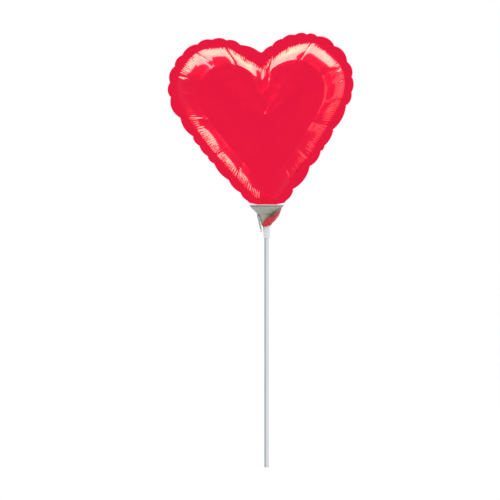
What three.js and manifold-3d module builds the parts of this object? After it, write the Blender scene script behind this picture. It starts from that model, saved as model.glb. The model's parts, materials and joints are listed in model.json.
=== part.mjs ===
// Heart-shaped foil balloon on a cup and stick.
// Millimetres, +Z up. The origin is the middle of the stick's lower end, the stick runs up +Z,
// and the balloon's front faces -Y.
import * as THREE from 'three';
import { mergeVertices } from 'three/addons/utils/BufferGeometryUtils.js';
import Module from 'manifold-3d';

const wasm = await Module();
wasm.setup();

const GAP = 0.3; // between pieces that touch
const ROUND = 32; // sides of a round piece
const { PI, abs, cos, sin, hypot, max, sqrt } = Math;
const radians = THREE.MathUtils.degToRad;

// Stick: an extruded tube, pushed into the cup's socket.
const STICK_LENGTH = 240;
const STICK_R = 2.3;
const STICK_WALL = 0.7;

// Cup: a tapered socket below, a narrow throat, and a 45 degree bowl with a lip.
const SOCKET_BOTTOM = 228.5;
const SOCKET_TOP = 239.5;
const SOCKET_R_BOTTOM = 3.0;
const SOCKET_R_TOP = 3.6;
const SOCKET_FLOOR = STICK_LENGTH + GAP; // where the pushed-in stick stops
const THROAT_BOTTOM = 240.6;
const THROAT_R = 3.9;
const BOWL_BOTTOM = 251.6;
const BOWL_R_BOTTOM = 7.4;
const LIP_BOTTOM = 260.3;
const RIM_Z = 262;
const RIM_R = 17.4;
const CUP_WALL = 0.9;
const BOWL_FLOOR = 243;

// Slot through the right side of the bowl, where the balloon's tail is pulled out.
const SLOT_WIDTH = 4;
const SLOT_BOTTOM = 252.2;
const SLOT_TOP = 256.4;

// Film of the tail, wound round the outside of the cup, and of the balloon's two panels.
const FILM = 0.5;
const WRAP_BOTTOM = 241.3;
const WRAP_TOP = 259.6;

// Clip finger: a springy tongue moulded on the cup, outside the wound tail, on the left.
const FINGER_WIDTH = 4.5;
const FINGER_THICK = 1.1;
const FINGER_TURN = radians(8); // towards the front
const FINGER_LINE = [[-9.2, 251.4], [-8.1, 247.5], [-6.9, 243], [-6, 239], [-5.4, 234.6]];

// Gathered neck of the balloon, from the bowl's throat up to the balloon's mouth.
const NECK_BOTTOM = 246.5;
const NECK_R_BOTTOM = 1.5;
const NECK_R_TOP = 11.5;
const NECK_FLATNESS = 0.4; // depth over width

// Heart, drawn in its own frame: x to the right, z up from the rim, leaning to the left.
const LEAN = radians(3.5);
const HEART_X = 1.5;
const HEART_LIFT = 1.6; // above the rim, so that the seam clears it as the balloon sways
const NOTCH_Z = 151.2;
const LOBE_X = 43;
const LOBE_Z = 118.5;
const LOBE_R = 49.8;
const LOBE_START = radians(118);
const LOBE_END = radians(-30);
const SIDE_R = 521;
const SIDE_END = radians(-42.6);
const SCALLOPS = 32; // puckers round the heat-sealed edge
const SCALLOP_DEPTH = 1.6;
const STEPS_PER_SCALLOP = 3;
const SEAM_WIDTH = 8;
const NOTCH_SEAM = 15; // the seam is wider in the notch
const NOTCH_REACH = 30; // how far out the notch's seam and ridge fade
const DOME_CENTRE = 82; // height of the spokes' centre in the heart
const DOME_DEPTH = 36; // from the seam to the fullest point, on each side
const DOME_RINGS = 6;
const MOUTH_HALF_WIDTH = 12.5;
const MOUTH_DEPTH = 4.5;
const MOUTH_HEIGHT = 20; // over which the mouth fades into the dome

// One-way valve: two clear films in the mouth, lying on each other.
const VALVE_WIDTH = 15;
const VALVE_BOTTOM = 2.5;
const VALVE_TOP = 46;
const VALVE_FILM = 0.4;

const RED = { color: 0xe11b46, roughness: 0.25, metalness: 0.7 };
const SILVER = { color: 0x9c9e90, roughness: 0.4, metalness: 0.8 };
const FROSTED = { color: 0xdcdedd, roughness: 0.5, metalness: 0 };
const WHITE = { color: 0xd2d6da, roughness: 0.4, metalness: 0 };
const CLEAR = { color: 0xe8ecee, roughness: 0.2, metalness: 0 };

function part(name, geometry, look) {
  const mesh = new THREE.Mesh(geometry, new THREE.MeshStandardMaterial(look));
  mesh.name = name;
  return mesh;
}

// A solid turned round +Z from [radius, height] corners, going up the outside.
function turned(corners, sides = ROUND) {
  const points = corners.map(([r, z]) => new THREE.Vector2(r, z));
  return new THREE.LatheGeometry(points, sides).rotateX(PI / 2);
}

// A flat outline in X and Z, pushed through from depth y0 to y1.
function slab(shape, y0, y1, curveSegments = 8) {
  const options = { depth: y1 - y0, bevelEnabled: false, curveSegments };
  return new THREE.ExtrudeGeometry(shape, options).rotateX(PI / 2).translate(0, y1, 0);
}

function solid(geometry) {
  const bare = geometry.clone();
  bare.deleteAttribute('normal');
  bare.deleteAttribute('uv');
  const merged = mergeVertices(bare, 1e-4);
  const mesh = new wasm.Mesh({
    numProp: 3,
    vertProperties: merged.attributes.position.array,
    triVerts: new Uint32Array(merged.index.array),
  });
  return new wasm.Manifold(mesh);
}

function surfaceOf(manifold) {
  const mesh = manifold.getMesh();
  const geometry = new THREE.BufferGeometry();
  geometry.setAttribute('position', new THREE.BufferAttribute(mesh.vertProperties, 3));
  geometry.setIndex(new THREE.BufferAttribute(mesh.triVerts, 1));
  return geometry;
}

// ---- Stick ----

function stick() {
  const bore = STICK_R - STICK_WALL;
  const edge = 0.1;
  return turned([
    [bore, 0], [STICK_R - edge, 0], [STICK_R, edge],
    [STICK_R, STICK_LENGTH - edge], [STICK_R - edge, STICK_LENGTH], [bore, STICK_LENGTH],
    [bore, 0],
  ]);
}

// ---- Cup ----

// The bowl's outer radius under the lip, at a height.
const bowlR = (z) => BOWL_R_BOTTOM + (z - BOWL_BOTTOM);

function cup() {
  const socketBore = STICK_R + GAP;
  const slant = CUP_WALL * sqrt(2);
  const body = turned([
    [socketBore, SOCKET_BOTTOM], [SOCKET_R_BOTTOM, SOCKET_BOTTOM], [SOCKET_R_TOP, SOCKET_TOP],
    [THROAT_R, THROAT_BOTTOM], [BOWL_R_BOTTOM, BOWL_BOTTOM], [bowlR(LIP_BOTTOM), LIP_BOTTOM],
    [RIM_R, LIP_BOTTOM], [RIM_R, RIM_Z], [bowlR(RIM_Z) - slant, RIM_Z],
    [BOWL_R_BOTTOM - CUP_WALL, BOWL_BOTTOM], [THROAT_R - CUP_WALL, BOWL_FLOOR],
    [0, BOWL_FLOOR], [0, SOCKET_FLOOR], [socketBore, SOCKET_FLOOR], [socketBore, SOCKET_BOTTOM],
  ]);
  const slot = new THREE.BoxGeometry(RIM_R, SLOT_WIDTH, SLOT_TOP - SLOT_BOTTOM);
  slot.translate(RIM_R / 2, 0, (SLOT_BOTTOM + SLOT_TOP) / 2);
  return surfaceOf(solid(body).subtract(solid(slot)));
}

function clipFinger() {
  const outer = FINGER_LINE.map(([x, z]) => new THREE.Vector2(x - FINGER_THICK / 2, z));
  const inner = FINGER_LINE.map(([x, z]) => new THREE.Vector2(x + FINGER_THICK / 2, z));
  const shape = new THREE.Shape([outer[0]]);
  shape.splineThru(outer.slice(1));
  const tip = FINGER_LINE.at(-1);
  shape.absarc(tip[0], tip[1], FINGER_THICK / 2, PI, 2 * PI, false);
  shape.splineThru(inner.reverse().slice(1));
  const half = FINGER_WIDTH / 2;
  return slab(shape, -half, half, 3).rotateZ(FINGER_TURN);
}

// ---- Tail ----

// A turned skin of film that lies the gap outside the cup.
function tailWrap() {
  const share = (WRAP_BOTTOM - THROAT_BOTTOM) / (BOWL_BOTTOM - THROAT_BOTTOM);
  const foot = THREE.MathUtils.lerp(THROAT_R, BOWL_R_BOTTOM, share);
  const line = [[foot, WRAP_BOTTOM], [BOWL_R_BOTTOM, BOWL_BOTTOM], [bowlR(WRAP_TOP), WRAP_TOP]];
  const spread = [1, 1.2, sqrt(2)]; // level width of the skin over its thickness, foot to top
  const outside = line.map(([r, z], i) => [r + (GAP + FILM) * spread[i], z]);
  const inside = line.map(([r, z], i) => [r + GAP * spread[i], z]);
  return turned([...outside, ...inside.reverse(), outside[0]]);
}

// The stretch of tail inside the slot, short of the wound film.
function tailLead() {
  const top = SLOT_TOP - 2 * GAP;
  const bottom = SLOT_BOTTOM + 2 * GAP;
  const outside = (z) => bowlR(z) - GAP;
  const inside = (z) => bowlR(z) - 2.1;
  const shape = new THREE.Shape([
    new THREE.Vector2(inside(bottom), bottom), new THREE.Vector2(outside(bottom), bottom),
    new THREE.Vector2(outside(top), top), new THREE.Vector2(inside(top), top),
  ]);
  const half = SLOT_WIDTH / 2 - 2 * GAP;
  return slab(shape, -half, half);
}

// The last turn of the tail: a red leaf that stands off the cup and tucks in at its foot.
function tailFold() {
  const outside = [[5.8, 239.9], [6.7, 243.4], [9.7, 246.5], [13.2, 251], [17, 259]];
  const inside = outside.map(([r, z]) => [r - FILM * 1.2, z]).reverse();
  const skin = solid(turned([...outside, ...inside, outside[0]]));
  const leaf = new THREE.Shape([new THREE.Vector2(15, 258.5)]);
  leaf.quadraticCurveTo(11.6, 248.4, 2.4, 240.6);
  leaf.quadraticCurveTo(-1, 239.9, -4.3, 240.2);
  leaf.quadraticCurveTo(-3.8, 246.2, -1.6, 247.4);
  leaf.quadraticCurveTo(9.5, 250.4, 15, 258.5);
  const front = solid(slab(leaf, -RIM_R, -1, 6));
  return surfaceOf(skin.intersect(front));
}

function tailNeck() {
  const top = RIM_Z + HEART_LIFT;
  const neck = turned([[0, NECK_BOTTOM], [NECK_R_BOTTOM, NECK_BOTTOM], [NECK_R_TOP, top], [0, top]]);
  return neck.scale(1, NECK_FLATNESS, 1);
}

// ---- Balloon ----

// Right half of the heart's outer edge, from the notch down to the mouth.
function heartHalf() {
  const lobeX = LOBE_X + LOBE_R * cos(LOBE_END);
  const lobeZ = LOBE_Z + LOBE_R * sin(LOBE_END);
  const sideX = lobeX - SIDE_R * cos(LOBE_END);
  const sideZ = lobeZ - SIDE_R * sin(LOBE_END);
  const half = new THREE.Path();
  half.moveTo(0, NOTCH_Z);
  half.lineTo(LOBE_X + LOBE_R * cos(LOBE_START), LOBE_Z + LOBE_R * sin(LOBE_START));
  half.absarc(LOBE_X, LOBE_Z, LOBE_R, LOBE_START, LOBE_END, true);
  half.absarc(sideX, sideZ, SIDE_R, LOBE_END, SIDE_END, true);
  return half;
}

// Points all round the heart, clockwise from the notch: on the smooth edge, and on the sealed
// edge with its puckers, which the mouth doesn't have.
function heartEdge() {
  const steps = (SCALLOPS * STEPS_PER_SCALLOP) / 2;
  const right = heartHalf().getSpacedPoints(steps);
  const mouth = right.at(-1);
  const left = right.slice(1, -1).reverse().map((p) => new THREE.Vector2(-p.x, p.y));
  const ring = [...right, new THREE.Vector2(0, mouth.y), new THREE.Vector2(-mouth.x, mouth.y), ...left];
  return ring.map((smooth, i) => {
    const along = ring[(i + 1) % ring.length].clone().sub(ring.at(i - 1)).normalize();
    const inward = new THREE.Vector2(along.y, -along.x);
    const fromNotch = Math.min(i, ring.length - i);
    const crest = sin((PI * (fromNotch % STEPS_PER_SCALLOP)) / STEPS_PER_SCALLOP);
    const plain = i === 0 || smooth.y < mouth.y + SCALLOP_DEPTH;
    const dent = plain ? 0 : SCALLOP_DEPTH * (1 - crest);
    return { smooth, sealed: smooth.clone().addScaledVector(inward, dent) };
  });
}

// Half depth of the balloon at a share of the way in from the seam, 0, to the centre, 1.
function domeDepth(share, towardsNotch) {
  const sharpness = 0.62 + 0.3 * towardsNotch;
  return DOME_DEPTH * sin((PI / 2) * share ** sharpness);
}

// A panel is a turned dish of film, its rings stretched out to the heart's edge.
function panel() {
  const edge = heartEdge();
  const centre = new THREE.Vector2(0, DOME_CENTRE);
  const shares = Array.from({ length: DOME_RINGS }, (_, i) => 1 - (1 - i / DOME_RINGS) ** 1.6);
  const outside = [...shares.map((share, i) => [DOME_RINGS - i, 1]), [0, 1]];
  const inside = outside.map(([ring]) => [ring, 0]).reverse();
  const rim = DOME_RINGS + 1;
  const dish = turned([...inside, [rim, 0], [rim, 1], ...outside], edge.length);
  const place = dish.attributes.position;
  for (let i = 0; i < place.count; i += 1) {
    const ring = Math.round(hypot(place.getX(i), place.getY(i)));
    const turn = Math.atan2(place.getX(i), place.getY(i)) / (2 * PI);
    const spoke = edge[Math.round(turn * edge.length + edge.length) % edge.length];
    const run = spoke.smooth.clone().sub(centre);
    const nearNotch = run.y > 0 ? max(0, 1 - abs(run.x) / NOTCH_REACH) : 0;
    const seam = SEAM_WIDTH + (NOTCH_SEAM - SEAM_WIDTH) * nearNotch ** 2;
    const weld = 1 - seam / run.length();
    const share = ring > DOME_RINGS ? 0 : shares[DOME_RINGS - ring] ?? 1;
    const onDome = centre.clone().addScaledVector(run, weld * (1 - share));
    const at = ring > DOME_RINGS ? spoke.sealed : onDome;
    const across = max(0, 1 - (at.x / MOUTH_HALF_WIDTH) ** 2);
    const mouth = MOUTH_DEPTH * across * max(0, 1 - at.y / MOUTH_HEIGHT);
    const skin = place.getZ(i) > 0.5 ? FILM : 0;
    const depth = GAP / 2 + skin + max(domeDepth(share, nearNotch), mouth);
    place.setXYZ(i, at.x, -depth, at.y);
  }
  return dish;
}

function valveFilm() {
  const height = VALVE_TOP - VALVE_BOTTOM;
  const film = new THREE.BoxGeometry(VALVE_WIDTH, VALVE_FILM, height);
  return film.translate(0, -(GAP + VALVE_FILM) / 2, VALVE_BOTTOM + height / 2);
}

// ---- Assembly ----

const balloon = new THREE.Group();
balloon.position.set(HEART_X, 0, RIM_Z + HEART_LIFT);
balloon.rotation.y = -LEAN;
balloon.add(part('front_panel', panel(), RED));
balloon.add(part('valve_film_front', valveFilm(), CLEAR));
const rear = new THREE.Group();
rear.rotation.z = PI;
rear.add(part('rear_panel', panel(), RED));
rear.add(part('valve_film_rear', valveFilm(), CLEAR));
balloon.add(rear);

const holder = new THREE.Group();
holder.add(part('holder_cup', cup(), FROSTED));
holder.add(part('clip_finger', clipFinger(), FROSTED));
holder.add(part('tail_wrap', tailWrap(), SILVER));
holder.add(part('tail_lead', tailLead(), SILVER));
holder.add(part('tail_fold', tailFold(), RED));
holder.add(part('tail_neck', tailNeck(), RED));

const model = new THREE.Group();
model.add(part('stick', stick(), WHITE));
model.add(holder);
model.add(balloon);

export default model;
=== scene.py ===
"""Heart-shaped foil balloon on a cup and stick: its looks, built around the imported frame.

Lengths are millimetres until a mesh is made. A point of the heart is (u, v): u to the right and
v up from the cup's rim, in a frame that leans with the balloon. Depth is measured towards -Y.
"""
import json
import math

import bpy
import numpy as np
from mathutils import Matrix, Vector


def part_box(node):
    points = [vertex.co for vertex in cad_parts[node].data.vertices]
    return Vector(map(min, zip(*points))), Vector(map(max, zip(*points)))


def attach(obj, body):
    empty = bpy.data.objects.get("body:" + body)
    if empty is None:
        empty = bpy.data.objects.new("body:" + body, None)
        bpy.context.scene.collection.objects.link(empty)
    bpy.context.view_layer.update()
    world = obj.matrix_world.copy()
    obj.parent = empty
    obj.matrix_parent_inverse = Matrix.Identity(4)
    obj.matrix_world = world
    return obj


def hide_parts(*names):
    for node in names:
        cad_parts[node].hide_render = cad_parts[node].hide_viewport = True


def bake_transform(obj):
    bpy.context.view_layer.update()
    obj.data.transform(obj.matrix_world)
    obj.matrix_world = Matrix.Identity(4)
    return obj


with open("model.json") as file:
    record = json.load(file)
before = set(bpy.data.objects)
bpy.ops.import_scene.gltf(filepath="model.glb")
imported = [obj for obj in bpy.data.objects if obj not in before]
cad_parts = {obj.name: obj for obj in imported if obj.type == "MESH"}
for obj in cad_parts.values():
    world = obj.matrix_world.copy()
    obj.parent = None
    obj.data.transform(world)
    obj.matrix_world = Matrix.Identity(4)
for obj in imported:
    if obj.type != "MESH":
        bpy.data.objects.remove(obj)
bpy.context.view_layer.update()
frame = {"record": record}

MM = 0.001
TAU = 2 * math.pi
rng = np.random.default_rng(9)

# ---- Places taken from the frame, in mm ----
cup_low, cup_high = (np.array(c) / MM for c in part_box("holder_cup"))
stick_low, stick_high = (np.array(c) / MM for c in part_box("stick"))
wrap_low, wrap_high = (np.array(c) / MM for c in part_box("tail_wrap"))
joints = {joint["name"]: joint for joint in frame["record"]["behaviour"]["joints"]}
rim_centre = np.array(joints["sway_front"]["pos_m"]) / MM
RIM_Z = cup_high[2]
RIM_R = (cup_high[0] - cup_low[0]) / 2
STICK_R = (stick_high[0] - stick_low[0]) / 2
STICK_TOP = stick_high[2]
SOCKET_LOW = cup_low[2]

# ---- The heart's driving sizes ----
LEAN = math.radians(3.5)
NOTCH = np.array([3.0, 152.6])
LOBE = np.array([43.0, 119.6])
LOBE_R = 49.6
LOBE_END = math.radians(-30)
SIDE_R = 521.0
FOOT_V_RIGHT, FOOT_V_LEFT = 0.9, 2.8
SEAM = 8.0
WELD_NOTCH = np.array([1.8, 137.0])
WELD_FOOT_V = -1.2
MOUTH_DEPTH = 4.0
MOUTH_SHARE = 0.88  # of the film's rise just inside the mouth
CENTRE = np.array([0.0, 87.0])
# Lengths of the seam's puckers from the notch down, each side, measured along the edge.
PUCKERS_RIGHT = np.array((12, 12, 13, 12, 10, 20, 21, 16, 14.6, 13.5, 28, 18, 5, 18, 29, 15))
PUCKERS_LEFT = np.array((22, 14, 14, 15, 19, 12.5, 17.5, 14, 23, 22, 10, 13, 9, 22, 16, 13.4))
PUCKER_DEPTH = 0.1  # of its length
# Lengths of the pillows between the dome's long creases, each side from the notch down.
PILLOWS_RIGHT = (16, 45, 40, 12, 21, 30, 39, 28, 32)
PILLOWS_LEFT = (42, 30, 30, 16, 32, 42, 32, 39)
PILLOW_RISE = 0.036  # of its length
# The roof that the dome is held under: its slope added at the weld, how far in
# that fades, and its slope further in.
RISE_AT_WELD, RISE_FADE, RISE_INSIDE = 0.54, 11.0, 0.66
FULLNESS = 1.15  # of the simulated rise
FILLED = 36.0  # height up to which the notch's valley is filled out
NOTCH_SLOPE = 0.7  # steepest rise under the notch
STRAIGHTNESS = 0.8  # how far the dome's edge is pulled straight between the long creases
SHRINK = 0.785  # inflated width over flat width
FILM = 0.05  # thickness of a film, and the level of its outer face at the weld

SIDE_COLUMNS = 132
MOUTH_COLUMNS = 24
FINER = 4  # columns of the finished mesh for one of the simulation
# Rings of the dome from the weld inwards: how many, their spacing as a share of the way to the
# centre, and how many of the columns they keep (one in 1, 2, 4 or 8).
RINGS = ((12, 0.022, 1), (7, 0.042, 2), (4, 0.075, 4), (1, 0.07, 8))
SEAM_ROWS = np.array([1, 0.9, 0.6, 0.34, 0.26, 0.19, 0.15, 0.11, 0.07])


def to_world(u, v, depth):
    """Points of the heart's frame, in mm, as metres of the row's frame."""
    x = rim_centre[0] + u * math.cos(LEAN) - v * math.sin(LEAN)
    z = rim_centre[2] + u * math.sin(LEAN) + v * math.cos(LEAN)
    return np.stack([x, -depth, z], -1) * MM


def smooth(low, high, x):
    t = np.clip((x - low) / (high - low), 0, 1)
    return t * t * (3 - 2 * t)


# ---- Outline ----

def arc(centre, radius, start, end, count):
    angle = np.linspace(start, end, count)[:, None]
    return centre + radius * np.concatenate([np.cos(angle), np.sin(angle)], 1)


def line(start, end, count):
    return np.array(start) + (np.array(end) - start) * np.linspace(0, 1, count)[:, None]


def side_circle():
    """Centre of the long side's arc, which goes on from the lobe's."""
    out = np.array([math.cos(LOBE_END), math.sin(LOBE_END)])
    return LOBE + out * (LOBE_R - SIDE_R)


def side_u(inset, v):
    """How far out the long side is at a height."""
    centre = side_circle()
    return centre[0] + math.sqrt((SIDE_R - inset) ** 2 - (v - centre[1]) ** 2)


def heart_half(inset, notch, foot, detail=400):
    """Right half of the heart set in by a distance: notch, lobe, long side, foot. Each stretch
    has the same number of points, so that two such halves match point by point."""
    radius = LOBE_R - inset
    reach = LOBE - notch
    distance = np.hypot(*reach)
    heading = math.atan2(reach[1], reach[0]) + math.asin(radius / distance)
    tangent = math.sqrt(distance ** 2 - radius ** 2)
    touch = notch + tangent * np.array([math.cos(heading), math.sin(heading)])
    start = math.atan2(touch[1] - LOBE[1], touch[0] - LOBE[0])
    side_radius = SIDE_R - inset
    side_centre = side_circle()
    end = -math.acos((foot[0] - side_centre[0]) / side_radius)
    lobe = arc(LOBE, radius, start, LOBE_END, detail)
    side = arc(side_centre, side_radius, LOBE_END, end, detail)
    return np.concatenate([line(notch, touch, detail)[:-1], lobe[:-1], side[:-1],
                           line(side[-1], foot, detail)])


WELD_FOOT_U = side_u(SEAM, WELD_FOOT_V)


def run_of(points):
    return np.concatenate([[0], np.cumsum(np.linalg.norm(np.diff(points, axis=0), axis=1))])


def side_seam(puckers, depths, columns, mirrored):
    """One side of the seam, column by column: the weld, the outer edge, the place in the pucker
    (-1 to 1), the pucker's depth, the distance along the weld; and the cusps' distances."""
    flip = np.array([-1 if mirrored else 1, 1])
    weld_line = heart_half(SEAM, WELD_NOTCH * flip, (WELD_FOOT_U, WELD_FOOT_V))
    foot_v = FOOT_V_LEFT if mirrored else FOOT_V_RIGHT
    edge_line = heart_half(0, NOTCH * flip, (side_u(0, foot_v), foot_v))
    weld_run, edge_run = run_of(weld_line), run_of(edge_line)
    along = np.linspace(0, weld_run[-1], columns + 1)
    weld = np.stack([np.interp(along, weld_run, weld_line[:, i]) for i in (0, 1)], 1)
    edge = np.stack([np.interp(along, weld_run, edge_line[:, i]) for i in (0, 1)], 1)
    edge_along = np.interp(along, weld_run, edge_run)
    cusps = np.concatenate([[0], np.cumsum(puckers)]) * edge_run[-1] / puckers.sum()
    which = np.clip(np.searchsorted(cusps, edge_along, side="right") - 1, 0, len(puckers) - 1)
    place = 2 * (edge_along - cusps[which]) / np.diff(cusps)[which] - 1
    return weld * flip, edge * flip, place, depths[which], along, np.interp(cusps, edge_run, weld_run)


def pillows_at(lengths, along):
    """For points along one side: the place in a pillow (-1 to 1), its length; and the ends."""
    ends = np.concatenate([[0], np.cumsum(lengths)]) * along[-1] / sum(lengths)
    which = np.clip(np.searchsorted(ends, along, side="right") - 1, 0, len(lengths) - 1)
    size = np.diff(ends)[which]
    return 2 * (along - ends[which]) / size - 1, size, ends


DEPTHS_RIGHT = PUCKER_DEPTH * PUCKERS_RIGHT + rng.uniform(-0.3, 0.5, len(PUCKERS_RIGHT))
DEPTHS_LEFT = PUCKER_DEPTH * PUCKERS_LEFT + rng.uniform(-0.3, 0.5, len(PUCKERS_LEFT))


class Seam:
    """The seam all round, from the notch down the right side, across the mouth, up the left."""

    def __init__(self, finer):
        side, mouth = SIDE_COLUMNS * finer, MOUTH_COLUMNS * finer
        right = side_seam(PUCKERS_RIGHT, DEPTHS_RIGHT, side, False)
        left = side_seam(PUCKERS_LEFT, DEPTHS_LEFT, side, True)
        across = np.linspace(1, -1, mouth + 1)[1:-1]
        lip = np.stack([WELD_FOOT_U * across, np.full(mouth - 1, WELD_FOOT_V)], 1)
        self.count = 2 * side + mouth
        self.side = side
        self.sealed = np.r_[0:side + 1, side + mouth:self.count, 0]  # columns that have a seam
        self.weld = np.concatenate([right[0], lip, left[0][:0:-1]])
        self.edge = np.concatenate([right[1], lip, left[1][:0:-1]])
        self.place = np.concatenate([right[2], np.zeros(mouth - 1), left[2][:0:-1]])
        self.pucker = np.concatenate([right[3], np.zeros(mouth - 1), left[3][:0:-1]])
        self.length = right[4][-1]
        self.along = np.concatenate([right[4], np.full(mouth - 1, self.length + 50), left[4][:0:-1]])
        self.mouth = np.concatenate([np.zeros(side + 1), (1 - across ** 2) ** 2, np.zeros(side)])
        self.cusps = [(1, at) for at in right[5][1:-1]] + [(-1, at) for at in left[5][1:-1]]
        parts = [pillows_at(lengths, part[4]) for lengths, part in
                 ((PILLOWS_RIGHT, right), (PILLOWS_LEFT, left))]
        none = np.full(mouth - 1, -1.0)
        self.pillow_place = np.concatenate([parts[0][0], none, parts[1][0][:0:-1]])
        self.pillow = np.concatenate([parts[0][1], none + 13, parts[1][1][:0:-1]])
        self.creases = [(1, at) for at in parts[0][2][:-1]] + [(-1, at) for at in parts[1][2][1:-1]]
        on_left = np.arange(self.count) > side + mouth // 2
        self.hand = np.where(on_left, -1, 1)
        tangent = np.roll(self.edge, -1, 0) - np.roll(self.edge, 1, 0)
        tangent /= np.linalg.norm(tangent, axis=1)[:, None]
        self.inward = np.stack([tangent[:, 1], -tangent[:, 0]], 1)
        ends = smooth(0, 4, self.along) * smooth(0, 6, self.length - self.along)
        self.dent = self.pucker * (self.place ** 2 - 0.35) * ends


# ---- Inflation: one panel of film, pinned at the weld and blown up ----

def ring_shares():
    spacing = np.concatenate([[step] * count for count, step, _ in RINGS])
    return np.concatenate([[0], np.cumsum(spacing)])


def ring_keeps():
    return np.concatenate([[RINGS[0][2]]] + [[keep] * count for count, _, keep in RINGS])


def web(rings):
    """Faces between rings of vertex numbers, each ring as long as the one outside it or half.
    They face the front."""
    faces = []
    for outer, inner in zip(rings, rings[1:]):
        n, m = len(outer), len(inner)
        for j in range(m):
            p, q = inner[j], inner[(j + 1) % m]
            if m == n:
                faces.append((p, q, outer[(j + 1) % n], outer[j]))
            else:
                a, b, c = outer[2 * j], outer[2 * j + 1], outer[(2 * j + 2) % n]
                faces += [(p, b, a), (p, q, b), (q, c, b)]
    return faces


def hub(ring, centre):
    return [(centre, ring[(j + 1) % len(ring)], ring[j]) for j in range(len(ring))]


def mesh_object(name, points, faces):
    mesh = bpy.data.meshes.new(name)
    mesh.from_pydata(np.asarray(points, float).tolist(), [], [tuple(map(int, f)) for f in faces])
    mesh.update()
    mesh.polygons.foreach_set("use_smooth", [True] * len(mesh.polygons))
    made = bpy.data.objects.new(name, mesh)
    bpy.context.scene.collection.objects.link(made)
    return made


SIM_SCALE = 0.01  # simulation units for a millimetre
SIM_FRAMES = 60
SMOOTHING = 80  # passes over the columns, which leave folds wider than about 25 mm
SIM_RAMP = 25  # frames in which the weld draws in from its flat width
START_DEPTH = 25  # mm at the centre of the shape that the film is drawn in towards
START_GAP = 0.3  # mm by which the flat film starts off the plane of the weld


def inflate(seam):
    """The blown-up panel as a grid of points (u, depth, v): ring by ring from the weld in, the
    last one at the centre."""
    shares, keeps = ring_shares(), ring_keeps()
    rings, flat, blown = [], [], []
    for share, keep in zip(shares, keeps):
        columns = np.arange(0, seam.count, keep)
        point = seam.weld[columns] + (CENTRE - seam.weld[columns]) * share
        depth = MOUTH_DEPTH * seam.mouth[columns] * (1 - share)
        depth = depth + START_DEPTH * math.sin(share * math.pi / 2)
        rings.append(len(flat) + np.arange(len(columns)))
        wide = CENTRE + (point - CENTRE) / SHRINK
        flat += [(u, -START_GAP * share, v) for u, v in wide]
        blown += [(u, -d, v) for (u, v), d in zip(point, depth)]
    centre = len(flat)
    flat.append((CENTRE[0], -START_GAP, CENTRE[1]))
    blown.append((CENTRE[0], -START_DEPTH, CENTRE[1]))
    panel = mesh_object("inflating", np.array(flat) * SIM_SCALE, web(rings) + hub(rings[-1], centre))
    panel.shape_key_add(name="Basis")
    drawn_in = panel.shape_key_add(name="Drawn in")
    drawn_in.data.foreach_set("co", (np.array(blown) * SIM_SCALE).ravel())
    for value, at in ((0, 1), (1, SIM_RAMP)):
        drawn_in.value = value
        drawn_in.keyframe_insert("value", frame=at)
    panel.vertex_groups.new(name="weld").add(rings[0].tolist(), 1.0, "REPLACE")
    cloth = panel.modifiers.new("film", "CLOTH")
    film = cloth.settings
    film.quality, film.mass, film.air_damping = 6, 0.3, 1
    film.tension_stiffness, film.compression_stiffness = 60, 0
    film.shear_stiffness, film.bending_stiffness = 2, 0.05
    film.tension_damping = film.compression_damping = film.shear_damping = 5
    film.bending_model, film.bending_damping = "ANGULAR", 0.5
    film.vertex_group_mass = "weld"
    film.use_pressure, film.uniform_pressure_force = True, 6
    film.effector_weights.gravity = 0
    cloth.collision_settings.use_collision = cloth.collision_settings.use_self_collision = False
    cloth.point_cache.frame_start, cloth.point_cache.frame_end = 1, SIM_FRAMES
    scene = bpy.context.scene
    scene.frame_start, scene.frame_end = 1, SIM_FRAMES
    for number in range(1, SIM_FRAMES + 1):
        scene.frame_set(number)
    shown = panel.evaluated_get(bpy.context.evaluated_depsgraph_get())
    found = np.array([v.co for v in shown.data.vertices]) / SIM_SCALE
    scene.frame_set(1)
    bpy.data.objects.remove(panel)
    found[:, 1] *= -1
    rows = [refill(found[ring], keep) for ring, keep in zip(rings, keeps)]
    rows.append(np.repeat(found[centre:centre + 1], seam.count, 0))
    return np.array(rows)


def lesser(a, b, sharpness):
    """The lesser of two lengths, rounded where they are nearly the same."""
    a, b = np.maximum(a, 0.01), np.maximum(b, 0.01)
    return (a ** -sharpness + b ** -sharpness) ** (-1 / sharpness)


def sagittas(seam):
    """How far each column's weld bulges past a straight line between the long creases."""
    sags = np.zeros(seam.count)
    for hand in (1, -1):
        there = np.flatnonzero((seam.hand == hand) & (seam.mouth == 0))
        there = there[np.argsort(seam.along[there])]
        along, weld = seam.along[there], seam.weld[there]
        knots = [along[0], *sorted(at for side, at in seam.creases if side == hand), along[-1]]
        chord = np.stack([np.interp(along, knots, np.interp(knots, along, weld[:, i])) for i in (0, 1)], 1)
        sags[there] = np.linalg.norm(weld - chord, axis=1)
    return sags


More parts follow.
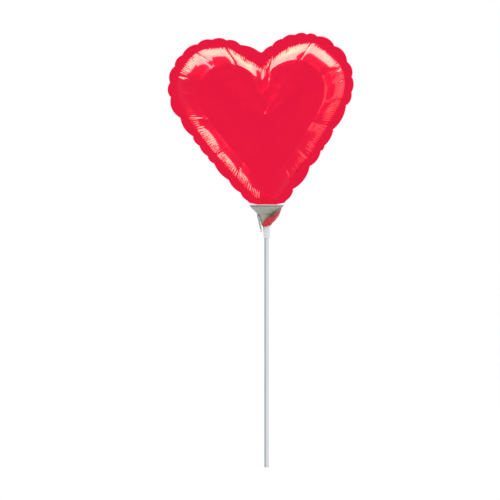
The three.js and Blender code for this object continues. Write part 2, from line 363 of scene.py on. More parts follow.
def settled(grid, seam):
    """The blown-up panel at even places from weld to centre, its loose folds smoothed out.

    Its height is then held under a roof of slopes chosen for the highlights, and under a
    cone at the notch. That, and not the simulation, sets most of the height: the result is
    about 8 mm a side lower than the film that was blown up."""
    shares = np.append(ring_shares(), 1)[:, None]
    weld = grid[0][:, [0, 2]]
    reach = CENTRE - weld
    length = np.linalg.norm(reach, axis=1)
    toward = reach / length[:, None]
    rise = np.empty(grid.shape[:2])
    for column in range(seam.count):
        run = (grid[:, column][:, [0, 2]] - weld[column]) @ toward[column]
        rise[:, column] = np.interp(shares[:, 0] * length[column], np.maximum.accumulate(run),
                                    grid[:, column, 1])
    for _ in range(SMOOTHING):
        rise[1:-1] = (np.roll(rise[1:-1], 1, 1) + 2 * rise[1:-1] + np.roll(rise[1:-1], -1, 1)) / 4
    place = weld + reach * shares[..., None]
    sides = [seam.weld[(seam.hand == hand) & (seam.mouth == 0)] for hand in (1, -1)]
    right, left = (np.linalg.norm(place[:, :, None] - side, axis=3).min(2) for side in sides)
    away = lesser(right, left, 3 + 30 * smooth(50, 100, place[..., 1]))
    away = np.maximum(away - STRAIGHTNESS * sagittas(seam) * np.exp(-away / 30), 0)
    roof = RISE_INSIDE * away + RISE_AT_WELD * RISE_FADE * (1 - np.exp(-away / RISE_FADE))
    rise[0] = MOUTH_SHARE * roof[0]
    from_notch = np.linalg.norm(place - WELD_NOTCH, axis=2)
    filling = 0.92 * np.minimum(roof, FILLED) * (1 - smooth(40, 75, from_notch))
    rise = np.maximum(FULLNESS * rise, filling)
    rise = lesser(rise, roof, 8)
    rise[0, seam.mouth == 0] = 0
    for _ in range(8):
        rise[1:-1] = (rise[:-2] + 2 * rise[1:-1] + rise[2:]) / 4
        rise[1:-1] = (np.roll(rise[1:-1], 1, 1) + 2 * rise[1:-1] + np.roll(rise[1:-1], -1, 1)) / 4
    cone = NOTCH_SLOPE * from_notch + 2.4 * (1 - np.exp(-from_notch / 6))
    rise[1:] = lesser(rise[1:], cone[1:], 10)
    return np.stack([place[..., 0], rise, place[..., 1]], 2)


def refill(ring, keep):
    """A ring with one in keep of its columns, filled out to all of them on a smooth curve."""
    while keep > 1:
        before, here, after, beyond = (np.roll(ring, k, 0) for k in (1, 0, -1, -2))
        between = (9 * (here + after) - before - beyond) / 16
        ring = np.stack([here, between], 1).reshape(-1, 3)
        keep //= 2
    return ring


def finer_columns(grid):
    """Twice the columns, on the cubic spline the columns steer."""
    before, after = np.roll(grid, 1, 1), np.roll(grid, -1, 1)
    pairs = np.stack([(before + 6 * grid + after) / 8, (grid + after) / 2], 2)
    return pairs.reshape(len(grid), -1, 3)


def finer_rows(grid):
    inner = (grid[:-2] + 6 * grid[1:-1] + grid[2:]) / 8
    even = np.concatenate([grid[:1], inner, grid[-1:]])
    odd = (grid[:-1] + grid[1:]) / 2
    rows = np.empty((2 * len(grid) - 1,) + grid.shape[1:])
    rows[0::2], rows[1::2] = even, odd
    return rows


# ---- Panels ----

PLEAT_PITCH = 2.5
# Where the fine pleats are strong: side, from and to along the weld, height, first and last mm
# of their run in from the weld.
PLEATS = (
    (-1, 148, 262, 0.2, 1, 12), (-1, 70, 103, 0.16, 1, 16), (-1, 4, 42, 0.06, 2, 12),
    (-1, 118, 148, 0.05, 4, 22), (1, 60, 104, 0.1, 3, 14), (1, 3, 60, 0.04, 2, 19),
    (1, 104, 134, 0.12, 3, 13), (1, 134, 232, 0.13, 3, 15), (1, 232, 262, 0.06, 4, 16),
)


def pleats(seam, run, seed):
    """Height of the fine pleats across the dome's edge, and of the sharp creases at the cusps."""
    random = np.random.default_rng(seed)
    wander = 0.35 * np.sin(seam.along / 7.3) + 0.25 * np.sin(seam.along / 3.1 + 1)
    phase = seam.along / PLEAT_PITCH + wander
    tooth = np.floor(phase).astype(int) % 300 + np.where(seam.hand > 0, 0, 300)
    longer = random.uniform(0.55, 1.2, 600)[tooth]
    higher = random.uniform(0.35, 1.3, 600)[tooth]
    wave = np.cos(TAU * phase) + 0.3 * np.cos(2 * TAU * phase + 1)
    total = np.zeros_like(run)
    for hand, start, end, height, first, last in PLEATS:
        there = smooth(start - 2, start + 2, seam.along) * (1 - smooth(end - 2, end + 2, seam.along))
        amount = height * higher * there * (seam.hand == hand)
        fade = smooth(first - 2, first + 1, run) * (1 - smooth(0.55, 1, run / (last * longer)))
        total += amount * fade * wave
    for hand, at in seam.cusps:
        depth, reach, width = random.uniform(0.05, 0.4), random.uniform(4, 12), random.uniform(0.5, 1.0)
        aside = np.where(seam.hand == hand, np.abs(seam.along - at), 99)
        total -= depth * np.exp(-aside / width) * smooth(0, 2, run) * (1 - smooth(0.3, 1, run / reach))
    for hand, at in seam.creases:
        depth, reach, lean = random.uniform(0.5, 0.9), random.uniform(15, 24), random.uniform(-0.2, 0.2)
        aside = np.where(seam.hand == hand, np.abs(seam.along - at + lean * run), 99)
        total -= depth * np.exp(-aside / 0.7) * smooth(0, 2, run) * (1 - smooth(0.4, 1, run / reach))
    return total


def pillows(seam, run):
    """Height of the wide swells between the long creases."""
    top = 0.36 * seam.pillow + 2
    swell = smooth(0, 1, run / top) * (1 - smooth(0, 1, (run - top) / (0.7 * seam.pillow + 4)))
    ends = smooth(0, 22, seam.along) * smooth(0, 32, seam.length - seam.along)
    return PILLOW_RISE * seam.pillow * (1 - seam.pillow_place ** 2) * swell * ends


def normals_of(grid):
    across = np.roll(grid, -1, 1) - np.roll(grid, 1, 1)
    down = np.gradient(grid, axis=0)
    normal = np.cross(across, down)
    length = np.linalg.norm(normal, axis=2, keepdims=True)
    return normal / np.maximum(length, 1e-9)


def runs_of(grid):
    steps = np.linalg.norm(np.diff(grid, axis=0), axis=2)
    return np.concatenate([np.zeros((1, grid.shape[1])), np.cumsum(steps, 0)])


def panel(name, seam, dome, front, seed):
    """One film panel: the dome with its pleats, and the flat puckered seam outside the weld."""
    shaped = dome.copy()
    shaped[..., 1] += pillows(seam, runs_of(dome))
    normal = normals_of(shaped)
    normal *= np.sign(normal[..., 1:2].mean())
    height = pleats(seam, runs_of(shaped), seed)
    height[-4:] = 0
    shaped += normal * height[..., None]
    shaped[..., 1] += FILM
    halved = [(keep, 2 * count) for count, _, keep in RINGS] + [(RINGS[-1][2], 1)]
    keeps = [1] + [keep for keep, count in halved for _ in range(count)]
    points, rings = [], []
    for row, keep in zip(shaped[:-1], keeps):
        columns = np.arange(0, seam.count, keep)
        rings.append(len(points) + np.arange(len(columns)))
        points += list(row[columns])
    points.append(shaped[-1, 0])
    faces = web(rings) + hub(rings[-1], len(points) - 1)

    weld = shaped[0][:, [0, 2]]
    edge = seam.edge + seam.inward * seam.dent[:, None]
    cusp = np.abs(seam.place) ** 6 * seam.pucker
    lift = cusp * 0.35 * np.sin(seam.along / 5.1 + 2 * seam.hand) + 0.25 * np.sin(seam.along / 11)
    columns = seam.sealed
    width = np.linalg.norm(edge - weld, axis=1)
    strips = []
    for share in SEAM_ROWS:
        flat = weld + (edge - weld) * share
        out = share * width
        ridge = 0.1 * np.exp(-((out - 0.9) / 0.35) ** 2) + 0.08 * np.exp(-((out - 2.1) / 0.35) ** 2)
        depth = (FILM + ridge) * (1 if front else -1) + lift * share ** 1.5
        strips.append(len(points) + np.arange(len(columns)))
        points += [(u, d if front else -d, v) for (u, v), d in zip(flat[columns], depth[columns])]
    strips.append(rings[0][columns])
    for outer, inner in zip(strips, strips[1:]):
        for j in range(len(columns) - 1):
            if columns[j + 1] - columns[j] in (1, 1 - seam.count):
                faces.append((inner[j], inner[j + 1], outer[j + 1], outer[j]))
    points = np.array(points)
    depth = points[:, 1] if front else -points[:, 1]
    if not front:
        faces = [face[::-1] for face in faces]
    made = mesh_object(name, to_world(points[:, 0], points[:, 2], depth), faces)
    skin = made.modifiers.new("thickness", "SOLIDIFY")
    skin.thickness, skin.offset = 0.8 * FILM * MM, -1
    return made


coarse = Seam(1)
fine = Seam(FINER)
dome = finer_rows(finer_columns(finer_columns(settled(inflate(coarse), coarse))))
front_film = panel("front_film", fine, dome, True, 21)
rear_film = panel("rear_film", fine, dome, False, 22)

# ---- Turned, lofted and bent pieces ----

def lathe(name, profile, around=96):
    """A closed profile of (radius, height) turned round +Z."""
    profile = np.array(profile)
    angle = np.arange(around) * TAU / around
    points = np.stack([profile[:, None, 0] * np.cos(angle), profile[:, None, 0] * np.sin(angle),
                       np.repeat(profile[:, None, 1], around, 1)], 2)
    rows = [np.arange(around) + i * around for i in range(len(profile))]
    faces = []
    for low, high in zip(rows, rows[1:] + rows[:1]):
        faces += [(low[j], low[(j + 1) % around], high[(j + 1) % around], high[j])
                  for j in range(around)]
    return mesh_object(name, points.reshape(-1, 3) * MM, faces)


def rounded(corners, radius, steps=4):
    """A closed outline with its corners rounded off; radius is one for all, or one for each."""
    corners = np.array(corners, float)
    radii = np.broadcast_to(radius, len(corners))
    outline = []
    for i, corner in enumerate(corners):
        before, after = corners[i - 1] - corner, corners[(i + 1) % len(corners)] - corner
        reach = min(radii[i], 0.45 * np.linalg.norm(before), 0.45 * np.linalg.norm(after))
        start = corner + before / np.linalg.norm(before) * reach
        end = corner + after / np.linalg.norm(after) * reach
        for t in np.linspace(0, 1, steps + 1):
            outline.append((1 - t) ** 2 * start + 2 * t * (1 - t) * corner + t * t * end)
    return outline


def sheet_object(name, grid, thickness, wrapped=False, offset=0):
    """A film through a grid of points in mm, given its thickness."""
    rows, columns = grid.shape[:2]
    faces = []
    for i in range(rows - 1):
        for j in range(columns if wrapped else columns - 1):
            k = (j + 1) % columns
            faces.append((i * columns + j, i * columns + k, (i + 1) * columns + k, (i + 1) * columns + j))
    made = mesh_object(name, grid.reshape(-1, 3) * MM, faces)
    skin = made.modifiers.new("thickness", "SOLIDIFY")
    skin.thickness, skin.offset = thickness * MM, offset
    return made


# Stick: a thin tube with softened ends, very slightly wavy as extruded tube is.
STICK_WALL = 0.7
STICK_EDGE = 0.12
bore = STICK_R - STICK_WALL
stick_heights = np.linspace(1.5, STICK_TOP - 1.5, 60)
waver = 0.008 * np.sin(stick_heights / 9.0) + 0.006 * np.sin(stick_heights / 3.7 + 1)
stick_piece = lathe("stick_tube", [
    (bore + STICK_EDGE, 0), (STICK_R - STICK_EDGE, 0), (STICK_R - 0.03, 0.04), (STICK_R - 0.01, STICK_EDGE),
    *zip(STICK_R - 0.01 + waver, stick_heights),
    (STICK_R - 0.01, STICK_TOP - STICK_EDGE), (STICK_R - 0.03, STICK_TOP - 0.04),
    (STICK_R - STICK_EDGE, STICK_TOP), (bore + STICK_EDGE, STICK_TOP), (bore, STICK_TOP - STICK_EDGE),
    (bore, STICK_EDGE)], 64)

# Cup: tapered socket, throat, bowl at 45 degrees and lip, all corners softened.
THROAT = (3.9, 240.6)
BOWL = (7.4, 251.6)
LIP_LOW = RIM_Z - 1.35
WALL = 0.9


def bowl_r(z):
    return BOWL[0] + z - BOWL[1]


def cup_r(z):
    """The cup's outer radius from the throat up to the lip."""
    return np.where(z < BOWL[1], np.interp(z, (THROAT[1], BOWL[1]), (THROAT[0], BOWL[0])), bowl_r(z))


socket_bore = STICK_R + 0.3
slant = WALL * math.sqrt(2)
cup_piece = lathe("cup", rounded([
    (socket_bore, SOCKET_LOW), (3.0, SOCKET_LOW), (3.6, 239.5), THROAT, BOWL,
    (bowl_r(LIP_LOW), LIP_LOW), (RIM_R, LIP_LOW), (RIM_R, RIM_Z), (bowl_r(RIM_Z) - slant, RIM_Z),
    (BOWL[0] - WALL, BOWL[1]), (THROAT[0] - WALL, 243), (0.02, 243), (0.02, 240.3), (socket_bore, 240.3),
], [0.15, 0.5, 0.35, 0.6, 2.5, 0.3, 0.4, 0.5, 0.4, 2.5, 1.0, 0.01, 0.01, 0.2]))
slot_cutter = mesh_object("slot_cutter", [
    (x * MM, y * MM, z * MM) for x in (2, RIM_R + 2) for y in (-2, 2) for z in (252.2, 256.4)],
    [(0, 1, 3, 2), (4, 6, 7, 5), (0, 4, 5, 1), (2, 3, 7, 6), (0, 2, 6, 4), (1, 5, 7, 3)])
slot_cutter.data.polygons.foreach_set("use_smooth", [False] * 6)
soften = slot_cutter.modifiers.new("soften", "BEVEL")
soften.width, soften.segments = 0.5 * MM, 3
cut = cup_piece.modifiers.new("slot", "BOOLEAN")
cut.operation, cut.object, cut.solver = "DIFFERENCE", slot_cutter, "EXACT"
bpy.context.view_layer.update()
shown = cup_piece.evaluated_get(bpy.context.evaluated_depsgraph_get())
cup_mesh = bpy.data.meshes.new_from_object(shown)
cup_piece.modifiers.clear()
cup_piece.data = cup_mesh
bpy.data.objects.remove(slot_cutter)
cup_mesh.set_sharp_from_angle(angle=math.radians(38))

# Clip finger: a bent tongue, rounded along its edges and at its free end.
FINGER_LINE = np.array([(-8.9, 253.2), (-9.2, 251.4), (-8.1, 247.5), (-6.9, 243), (-6, 239),
                        (-5.4, 234.6), (-5.33, 234.2)])
FINGER_HALF, FINGER_THICK, FINGER_TURN = 2.2, 0.72, math.radians(8)
FINGER_RINGS, FINGER_AROUND = 40, 24
finger_heights = np.linspace(FINGER_LINE[0, 1], FINGER_LINE[-1, 1], FINGER_RINGS)
finger_x = np.interp(-finger_heights, -FINGER_LINE[:, 1], FINGER_LINE[:, 0])
for _ in range(12):
    finger_x[1:-1] = (finger_x[:-2] + 2 * finger_x[1:-1] + finger_x[2:]) / 4
finger_rings = []
for x, z in zip(finger_x, finger_heights):
    end = z - finger_heights[-1]
    narrow = math.sqrt(max(1 - max(1 - end / 1.6, 0) ** 2, 0.02))
    thin = math.sqrt(max(1 - max(1 - end / 0.5, 0) ** 2, 0.05))
    turn = np.arange(FINGER_AROUND) * TAU / FINGER_AROUND
    across = FINGER_HALF * narrow * np.sign(np.sin(turn)) * np.abs(np.sin(turn)) ** 0.45
    outward = FINGER_THICK * thin * np.sign(np.cos(turn)) * np.abs(np.cos(turn)) ** 0.6
    px, py = x + outward, across
    finger_rings.append(np.stack([px * math.cos(FINGER_TURN) - py * math.sin(FINGER_TURN),
                                  px * math.sin(FINGER_TURN) + py * math.cos(FINGER_TURN),
                                  np.full(FINGER_AROUND, z)], 1))
last_ring = (FINGER_RINGS - 1) * FINGER_AROUND
finger_faces = [tuple(range(FINGER_AROUND)),
                tuple(range(last_ring + FINGER_AROUND - 1, last_ring - 1, -1))]
for this in range(0, last_ring, FINGER_AROUND):
    below = this + FINGER_AROUND
    finger_faces += [(this + j, below + j, below + (j + 1) % FINGER_AROUND, this + (j + 1) % FINGER_AROUND)
                     for j in range(FINGER_AROUND)]
finger_piece = mesh_object("clip_tongue", np.concatenate(finger_rings) * MM, finger_faces)
finger_piece.data.set_sharp_from_angle(angle=math.radians(50))

# Wound tail: the balloon's tail, its dull inner face out, wound round the cup in flat turns.
WRAP_AROUND, WRAP_ROWS = 288, 64
wrap_turn = np.arange(WRAP_AROUND) * TAU / WRAP_AROUND
wrap_z = np.linspace(wrap_low[2] + 0.1, wrap_high[2] + 0.35, WRAP_ROWS)[:, None]
# Edges of the turns climb the cone to the right as seen from the front; each laps the next.
climb = (wrap_z - wrap_low[2]) / 5.6 + 0.55 * np.sin(wrap_turn + 0.4) + 0.12 * np.sin(3 * wrap_turn)
lap = climb % 1
wrinkle = (0.10 * np.sin(7 * wrap_turn + 1.6 * wrap_z) * smooth(241, 248, wrap_z)
           + 0.06 * np.sin(17 * wrap_turn - 1.1 * wrap_z + 2) + 0.04 * np.sin(29 * wrap_turn + 2.3 * wrap_z))
wrap_r = cup_r(wrap_z) + 0.42 + 0.35 * lap * (1 - smooth(0.93, 1, lap)) + 0.28 * wrinkle
wrap_grid = np.stack([wrap_r * np.cos(wrap_turn), wrap_r * np.sin(wrap_turn),
                      np.broadcast_to(wrap_z, wrap_r.shape)], 2)
wrap_piece = sheet_object("tail_wound", wrap_grid, 0.12, wrapped=True)

# Tail in the slot: a folded ribbon on its way out of the bowl.
lead_low, lead_high = (np.array(c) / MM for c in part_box("tail_lead"))
RIBBON_LONG, RIBBON_WIDE = 16, 28
ribbon_x = np.linspace(lead_low[0] + 0.1, lead_high[0] - 0.1, RIBBON_LONG)
ribbon_turn = np.linspace(0, 1, RIBBON_WIDE)
ribbon = []
for x in ribbon_x:
    half = 0.5 * (lead_high[1] - lead_low[1]) - 0.15
    y = half * np.cos(math.pi * ribbon_turn)
    z = ((lead_low[2] + lead_high[2]) / 2 + 0.42 * np.sin(TAU * 1.5 * ribbon_turn + 0.5 * x)
         - 0.15 * (x - ribbon_x[0]))
    ribbon.append(np.stack([np.full(RIBBON_WIDE, x), y, z], 1))
lead_piece = sheet_object("tail_ribbon", np.array(ribbon), 0.12)

# Last turn of the tail: a red leaf that stands off the cup and tucks in at its foot.
LEAF_R = np.array([(5.8, 239.9), (6.7, 243.4), (9.7, 246.5), (13.2, 251), (17, 259)])
LEAF_UPPER = np.array([(-4.2, 240.4), (-3.9, 243.0), (-3.2, 245.6), (-1.6, 247.4),
                       (4.6, 249.6), (9.1, 252.6), (12.2, 255.7), (15.0, 258.5)])
LEAF_LOWER = np.array([(-4.2, 240.2), (-2.6, 240.0), (-0.6, 240.0), (2.4, 240.7),
                       (5.5, 243.3), (9.1, 246.5), (12.6, 251), (15.0, 258.4)])


def through(points, count):
    """Points evenly along the smooth curve through the given ones."""
    run = run_of(points)
    at = np.linspace(0, run[-1], count)
    curve = np.stack([np.interp(at, run, points[:, i]) for i in (0, 1)], 1)
    for _ in range(count // 6):
        curve[1:-1] = (curve[:-2] + 2 * curve[1:-1] + curve[2:]) / 4
    return curve


LEAF_LONG, LEAF_WIDE = 90, 30
upper, lower = through(LEAF_UPPER, LEAF_LONG), through(LEAF_LOWER, LEAF_LONG)
leaf = []
for i, t in enumerate(np.linspace(0, 1, LEAF_LONG)):
    w = np.linspace(0, 1, LEAF_WIDE)
    flat = lower[i] + (upper[i] - lower[i]) * w[:, None]
    radius = np.interp(flat[:, 1], LEAF_R[:, 1], LEAF_R[:, 0])
    radius -= 0.35 + 0.5 * np.abs(w - 0.55) ** 1.5 - 0.12 * np.sin(9 * w + 5 * t) * smooth(0.05, 0.4, t)
    radius -= 0.3 * np.exp(-((w - 0.78) / 0.05) ** 2)
    depth = np.sqrt(np.maximum(radius ** 2 - flat[:, 0] ** 2, 0.8))
    leaf.append(np.stack([flat[:, 0], -depth, flat[:, 1]], 1))
fold_piece = sheet_object("tail_leaf", np.array(leaf), 0.12, offset=0)

# Neck: the mouth of the balloon gathered in pleats down into the bowl.
NECK_LOW, NECK_ROWS = 246.6, 26
NECK_SHARE = 0.16  # of the mouth's width, at the neck's lower end
front_lip = to_world(dome[0, :, 0], dome[0, :, 2], dome[0, :, 1] + 0.5 * FILM) / MM
back_lip = to_world(dome[0, :, 0], dome[0, :, 2], -dome[0, :, 1] - 0.5 * FILM) / MM
lip_columns = np.arange(fine.side, fine.side + MOUTH_COLUMNS * FINER + 1)
lip_loop = np.concatenate([front_lip[lip_columns], back_lip[lip_columns[::-1]][1:-1]])
neck_rows = []
lip_turn = np.arctan2(lip_loop[:, 1], lip_loop[:, 0] - rim_centre[0])
for t in np.linspace(0, 1, NECK_ROWS):
    shrink = 1 - smooth(0, 1, t) * (1 - NECK_SHARE) - 0.05 * t
    z = lip_loop[:, 2] + (NECK_LOW - lip_loop[:, 2]) * t
    crumple = (1 + 0.16 * smooth(0, 0.5, t) * np.sin(11 * lip_turn + 1.5 * t)
               + 0.06 * np.sin(23 * lip_turn) * t)
    x = rim_centre[0] * (1 - t) + (lip_loop[:, 0] - rim_centre[0]) * shrink * crumple
    y = lip_loop[:, 1] * (shrink + 0.1 * t) * crumple
    neck_rows.append(np.stack([x, y, z], 1))
neck_piece = sheet_object("neck", np.array(neck_rows), 0.05, wrapped=True)

# Valve: two clear films that lie on each other in the mouth, curling apart at their tops.
VALVE_HALF, VALVE_LOW, VALVE_HIGH = 7.4, 2.7, 45.8
valve_pieces = []
for hand in (1, -1):
    across = np.linspace(-VALVE_HALF, VALVE_HALF, 31)
    up = np.linspace(VALVE_LOW, VALVE_HIGH, 60)[:, None]
    gap = 0.22 + 0.06 * np.sin(across / 2.2 + up / 5) + 0.12 * smooth(36, 46, up)
    gap = gap + 0.2 * (1 - smooth(VALVE_LOW, 6, up))
    half = across * (1 - 0.04 * smooth(20, 46, up))
    depth = hand * np.minimum(gap, 0.5)
    valve_pieces.append(sheet_object(
        "valve_sheet_front" if hand > 0 else "valve_sheet_rear",
        to_world(half, np.broadcast_to(up, half.shape), depth) / MM, 0.08))


# ---- Materials: patterns, and painted light and shade, sit on the pieces' own coordinates, in metres ----

class Finish:
    """A Principled material and the few nodes that its pattern is made of."""

    def __init__(self, name, base, roughness, metallic=0.0, **constants):
        self.material = bpy.data.materials.new(name)
        self.material.use_nodes = True
        self.nodes, self.links = self.material.node_tree.nodes, self.material.node_tree.links
        self.shader = self.nodes["Principled BSDF"]
        self.base = base
        self.shader.inputs["Base Color"].default_value = (*base, 1)
        self.shader.inputs["Roughness"].default_value = roughness
        self.shader.inputs["Metallic"].default_value = metallic
        for socket, value in constants.items():
            self.shader.inputs[socket.replace("_", " ")].default_value = value
        self.where = self.nodes.new("ShaderNodeTexCoord").outputs["Object"]

    def noise(self, per_metre, stretch=(1, 1, 1), detail=3.0, turn=(0, 0, 0)):
        mapping = self.nodes.new("ShaderNodeMapping")
        if any(turn):
            mapping.vector_type = "TEXTURE"
            stretch = [1 / share for share in stretch]
        mapping.inputs["Scale"].default_value = stretch
        mapping.inputs["Rotation"].default_value = turn
        self.links.new(self.where, mapping.inputs["Vector"])
        noise = self.nodes.new("ShaderNodeTexNoise")
        noise.inputs["Scale"].default_value = per_metre
        noise.inputs["Detail"].default_value = detail
        self.links.new(mapping.outputs["Vector"], noise.inputs["Vector"])
        return noise.outputs["Fac"]

    def ranged(self, source, low, high, start=0.3, end=0.7):
        ranging = self.nodes.new("ShaderNodeMapRange")
        ranging.interpolation_type = "SMOOTHSTEP"
        for socket, value in zip(("From Min", "From Max", "To Min", "To Max"), (start, end, low, high)):
            ranging.inputs[socket].default_value = value
        self.links.new(source, ranging.inputs["Value"])
        return ranging.outputs["Result"]

    def rough(self, source, low, high):
        self.links.new(self.ranged(source, low, high), self.shader.inputs["Roughness"])

    def tint(self, source, colour, start=0.35, end=0.65, amount=1.0):
        """Mixes a second colour over what the base colour is so far, where source is high."""
        mix = self.nodes.new("ShaderNodeMix")
        mix.data_type = "RGBA"
        into = self.shader.inputs["Base Color"]
        if into.links:
            self.links.new(into.links[0].from_socket, mix.inputs["A"])
        else:
            mix.inputs["A"].default_value = (*self.base, 1)
        mix.inputs["B"].default_value = (*colour, 1)
        self.links.new(self.ranged(source, 0, amount, start, end), mix.inputs["Factor"])
        self.links.new(mix.outputs["Result"], into)

    def bump(self, source, distance_mm, strength=1.0):
        bump = self.nodes.new("ShaderNodeBump")
        bump.inputs["Distance"].default_value = distance_mm * MM
        bump.inputs["Strength"].default_value = strength
        self.links.new(source, bump.inputs["Height"])
        normal = self.shader.inputs["Normal"]
        if normal.links:
            self.links.new(normal.links[0].from_socket, bump.inputs["Normal"])
        self.links.new(bump.outputs["Normal"], normal)

    def edge(self, axis, start, end):
        """0 to 1 along one axis, between two places in mm."""
        split = self.nodes.new("ShaderNodeSeparateXYZ")
        self.links.new(self.where, split.inputs["Vector"])
        return self.ranged(split.outputs[axis], 0, 1, start * MM, end * MM)


red = Finish("red_foil", (0.80, 0.002, 0.040), 0.12, 1.0, Coat_Weight=0.2, Coat_Roughness=0.06)
red.rough(red.noise(140), 0.09, 0.15)
red.tint(red.noise(45), (0.78, 0.002, 0.038), amount=0.6)
red.tint(red.noise(2600, (1, 1, 0.2)), (0.82, 0.003, 0.044), 0.55, 0.75, 0.5)
red.bump(red.noise(900, (1, 1, 0.35)), 0.004)

# Painted shade: the tail's red leaf is the panels' red foil painted darker and duller.
leaf_red = Finish("red_foil_of_tail", (0.52, 0.028, 0.034), 0.26, 0.9, Coat_Weight=0.2, Coat_Roughness=0.2)
leaf_red.rough(leaf_red.noise(600), 0.2, 0.36)
# Painted shade and painted highlights: darker streaks and lighter pinkish streaks, slanted along the leaf's
# folds, stand for the shade and the light on its creases.
leaf_red.tint(leaf_red.noise(300, (0.3, 1, 2), turn=(0, -0.75, 0)), (0.42, 0.014, 0.022), amount=0.6)
leaf_red.tint(leaf_red.noise(500, (0.2, 1, 2), turn=(0, -0.75, 0)), (0.72, 0.10, 0.10), 0.54, 0.66, 0.7)
leaf_red.bump(leaf_red.noise(1200, (1, 1, 2)), 0.03)

silver = Finish("dull_foil", (0.33, 0.342, 0.275), 0.5, 0.3)
silver.rough(silver.noise(700), 0.42, 0.55)
# Painted highlights and painted shade: lighter and darker streaks, slanted along the wound turns, stand for
# the light and the shade on the tail's creases.
silver.tint(silver.noise(420, (0.22, 1, 2.2), turn=(0, -0.62, 0)), (0.44, 0.45, 0.39), 0.52, 0.66, 0.7)
silver.tint(silver.noise(500, (0.2, 1, 2), turn=(0, -0.8, 0)), (0.26, 0.27, 0.215), 0.54, 0.7, 0.5)
silver.bump(silver.noise(900, (0.25, 1, 1.6), turn=(0, -0.7, 0)), 0.06)

frosted = Finish("frosted_plastic", (0.74, 0.75, 0.74), 0.42, Transmission_Weight=0.12, IOR=1.5)
frosted.rough(frosted.noise(500), 0.34, 0.52)
frosted.tint(frosted.noise(160), (0.68, 0.70, 0.68), amount=0.8)
# Painted shade: from 246 mm up the cup is painted dark grey, so the bowl and its lip look shaded.
frosted.tint(frosted.edge("Z", 246, 254), (0.36, 0.355, 0.32), 0.2, 0.8, 0.95)
frosted.tint(frosted.noise(3500, detail=1), (0.78, 0.79, 0.77), 0.55, 0.75, 0.4)
frosted.bump(frosted.noise(2600, detail=2), 0.015)

tube = Finish("stick_plastic", (0.61, 0.645, 0.66), 0.32, Coat_Weight=0.1, IOR=1.5)
tube.rough(tube.noise(900, (1, 1, 0.05)), 0.26, 0.42)
# Painted shade: the tube's left side, past 0.5 mm left of its axis, is painted dark, as its shaded side.
tube.tint(tube.edge("X", -0.5, -1.5), (0.27, 0.32, 0.33), 0.2, 0.8, 1.0)
tube.tint(tube.noise(1500, (1, 1, 0.02)), (0.52, 0.56, 0.58), 0.5, 0.7, 0.7)
tube.bump(tube.noise(1800, (1, 1, 0.04)), 0.012)

# Painted shade: the tongue is the cup's plastic painted much darker than the cup.
tongue = Finish("tongue_plastic", (0.33, 0.37, 0.33), 0.45, IOR=1.5)
tongue.rough(tongue.noise(700, (1, 1, 0.4)), 0.36, 0.55)
tongue.tint(tongue.noise(260), (0.27, 0.30, 0.27), amount=0.8)
# The painted shade lifts below 240 mm: the tongue's free end is painted lighter.
tongue.tint(tongue.edge("Z", 240, 236), (0.55, 0.58, 0.55), 0.2, 0.8, 0.9)
tongue.bump(tongue.noise(2600, detail=2), 0.015)

clear = Finish("clear_film", (0.90, 0.93, 0.94), 0.12, Transmission_Weight=0.75, IOR=1.45)
clear.rough(clear.noise(300), 0.08, 0.2)
clear.tint(clear.noise(220, (1, 1, 3)), (0.80, 0.85, 0.88), amount=0.6)
clear.bump(clear.noise(700, (1, 1, 0.3)), 0.02)

# ---- Pieces: what each rides on, what it stands for, and its finish ----

for piece, body, node, slot, finish in (
    (front_film, "balloon", "front_panel", "film_red", red),
    (rear_film, "balloon", "rear_panel", "film_red", red),
    (stick_piece, "stick", "stick", "stick", tube),
    (cup_piece, "cup", "holder_cup", "cup", frosted),
    (finger_piece, "clip", "clip_finger", "cup", tongue),
    (wrap_piece, "cup", "tail_wrap", "film_inside", silver),
    (lead_piece, "cup", "tail_lead", "film_inside", silver),
    (fold_piece, "cup", "tail_fold", "film_red", leaf_red),
    (neck_piece, "neck", "tail_neck", "film_red", red),
    (valve_pieces[0], "valve_front", "valve_film_front", "valve", clear),
    (valve_pieces[1], "valve_rear", "valve_film_rear", "valve", clear),
):
    piece.data.materials.clear()
    piece.data.materials.append(finish.material)
    if piece is neck_piece:
        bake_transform(piece)
    else:
        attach(piece, body)
    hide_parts(node)

# ---- Floor: a wide pale sheet just under the stick ----

FLOOR_Z, FLOOR_HALF = -0.0004, 40.0
floor = mesh_object("floor", [(x, y, FLOOR_Z) for x in (-FLOOR_HALF, FLOOR_HALF)
                              for y in (-FLOOR_HALF, FLOOR_HALF)], [(0, 2, 3, 1)])
paper = Finish("pale_paper", (0.90, 0.90, 0.90), 0.9, Specular_IOR_Level=0.0, Emission_Strength=0.11)
paper.shader.inputs["Emission Color"].default_value = (1, 1, 1, 1)
paper.tint(paper.noise(3), (0.92, 0.92, 0.92))
floor.data.materials.append(paper.material)

# ---- Light: a pale room; softboxes that the shiny film shows; a mild key for the plastic ----

FILM_LIT = (front_film, rear_film, neck_piece)


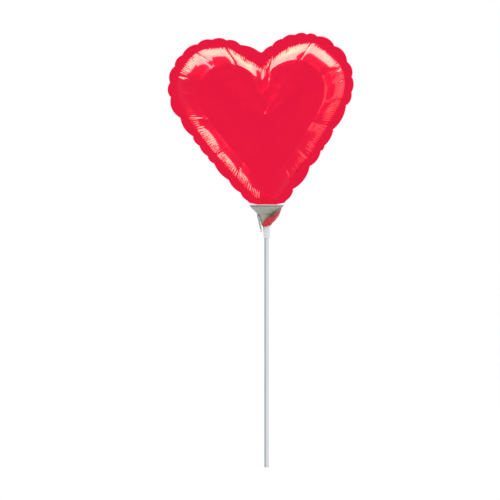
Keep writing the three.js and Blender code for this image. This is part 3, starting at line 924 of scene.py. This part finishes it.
def softbox(name, place, aim, size, radiance, colour, lit, through_film=False):
    """A rectangle of light, in metres, that lights only the pieces in lit. Through the film, those
    are also the only ones that block it."""
    lamp = bpy.data.lights.new(name, "AREA")
    lamp.shape = "RECTANGLE"
    lamp.size, lamp.size_y = size
    lamp.energy = radiance * math.pi * size[0] * size[1]
    lamp.color = colour
    made = bpy.data.objects.new(name, lamp)
    made.location = place
    made.rotation_euler = (Vector(aim) - Vector(place)).to_track_quat("-Z", "Y").to_euler()
    made.visible_camera = False
    subject = bpy.data.collections.new("lit_by_" + name)
    for piece in lit:
        subject.objects.link(piece)
    made.light_linking.receiver_collection = subject
    if through_film:
        made.light_linking.blocker_collection = subject
    bpy.context.scene.collection.objects.link(made)


WARM = (1, 1, 0.26)
softbox("overhead", (-0.12, 0.375, 1.2), (-0.12, 0.375, 0.35), (2.65, 0.85), 32, WARM, FILM_LIT)
softbox("overhead_left", (-0.5, -0.095, 1.2), (-0.5, -0.095, 0.35), (0.6, 0.09), 32, WARM, FILM_LIT)
softbox("low_left", (-0.35, 0.06, 0.065), (-0.05, 0.06, 0.31), (0.12, 0.15), 28, WARM, FILM_LIT)
softbox("low_right", (0.8, 0.06, 0.3), (0, 0.06, 0.33), (0.36, 0.8), 4.2, WARM, FILM_LIT)
plastics = (stick_piece, cup_piece, finger_piece, wrap_piece, lead_piece, fold_piece)
softbox("bowl_fill", (0, 0.3, 1.2), (0, 0, 0.25), (0.8, 0.8), 14.0, (1, 1, 0.96), (cup_piece,), True)
softbox("key", (1.3, -1.0, 0.7), (0, 0, 0.2), (1.0, 1.0), 1.2, (1, 0.97, 0.92), plastics)

room = bpy.data.worlds.new("room")
room.use_nodes = True
room.node_tree.nodes["Background"].inputs["Color"].default_value = (1, 1, 1.04, 1)
room.node_tree.nodes["Background"].inputs["Strength"].default_value = 1.0
bpy.context.scene.world = room
bpy.context.scene.view_settings.view_transform = "Standard"

lens = bpy.data.cameras.new("camera")
lens.lens = 216
camera = bpy.data.objects.new("camera", lens)
camera.location = (-0.0166, -3, 0.2167)
camera.rotation_euler = (math.pi / 2, 0, 0)
bpy.context.scene.collection.objects.link(camera)
bpy.context.scene.camera = camera
